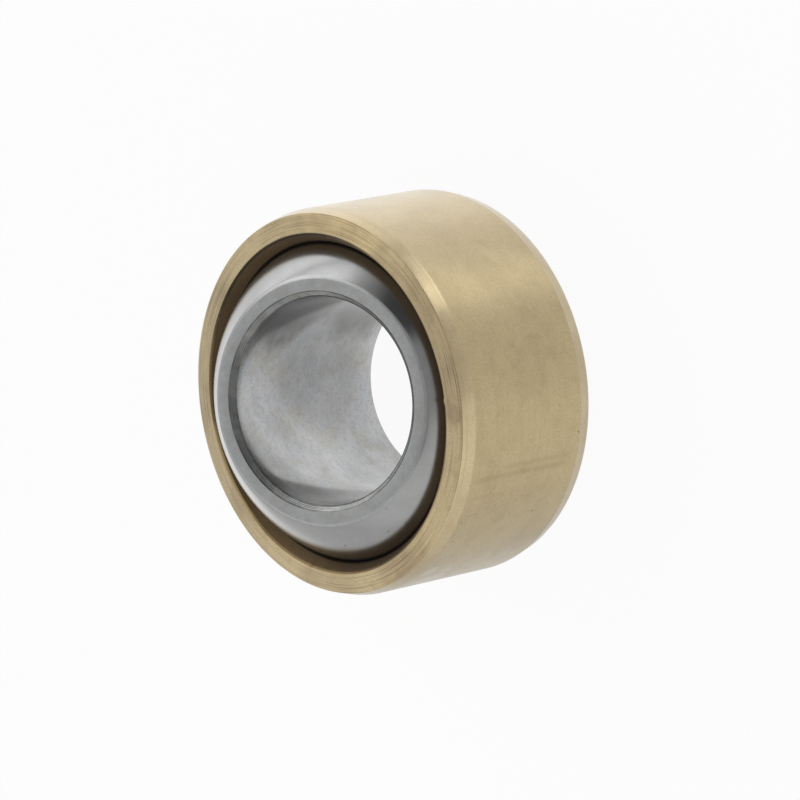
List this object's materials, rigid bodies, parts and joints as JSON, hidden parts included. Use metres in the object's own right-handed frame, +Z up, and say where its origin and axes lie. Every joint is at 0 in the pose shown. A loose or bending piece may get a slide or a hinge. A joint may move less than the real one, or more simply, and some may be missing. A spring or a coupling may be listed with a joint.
{
  "type": "spherical plain bearing",
  "caption": "Spherical plain bearing: a plain bronze outer ring that swivels on a steel ball with a straight bore and flat ends.",
  "frame": {"origin": "swivel centre, which is the centre of the ball and of the raceway", "axes": "+Z up along the ball's bore; +Y is the swivel axis; the outer ring's own axis leans 14 degrees from +Z towards +X"},
  "size_m": [0.0498, 0.047, 0.0318],
  "materials": {
    "ball_steel": "hardened steel, ground outside and bored inside",
    "ring_bronze": "turned bronze, satin, lightly tarnished"
  },
  "bodies": {
    "inner_ring": {"inner_ring": "ball_steel"},
    "outer_ring": {"outer_ring": "ring_bronze"}
  },
  "joints": [
    {"name": "swivel", "type": "hinge", "parent": "inner_ring", "child": "outer_ring", "pos_m": [0, 0, 0], "axis": [0, 1, 0], "range_deg": [-29, 1]}
  ]
}
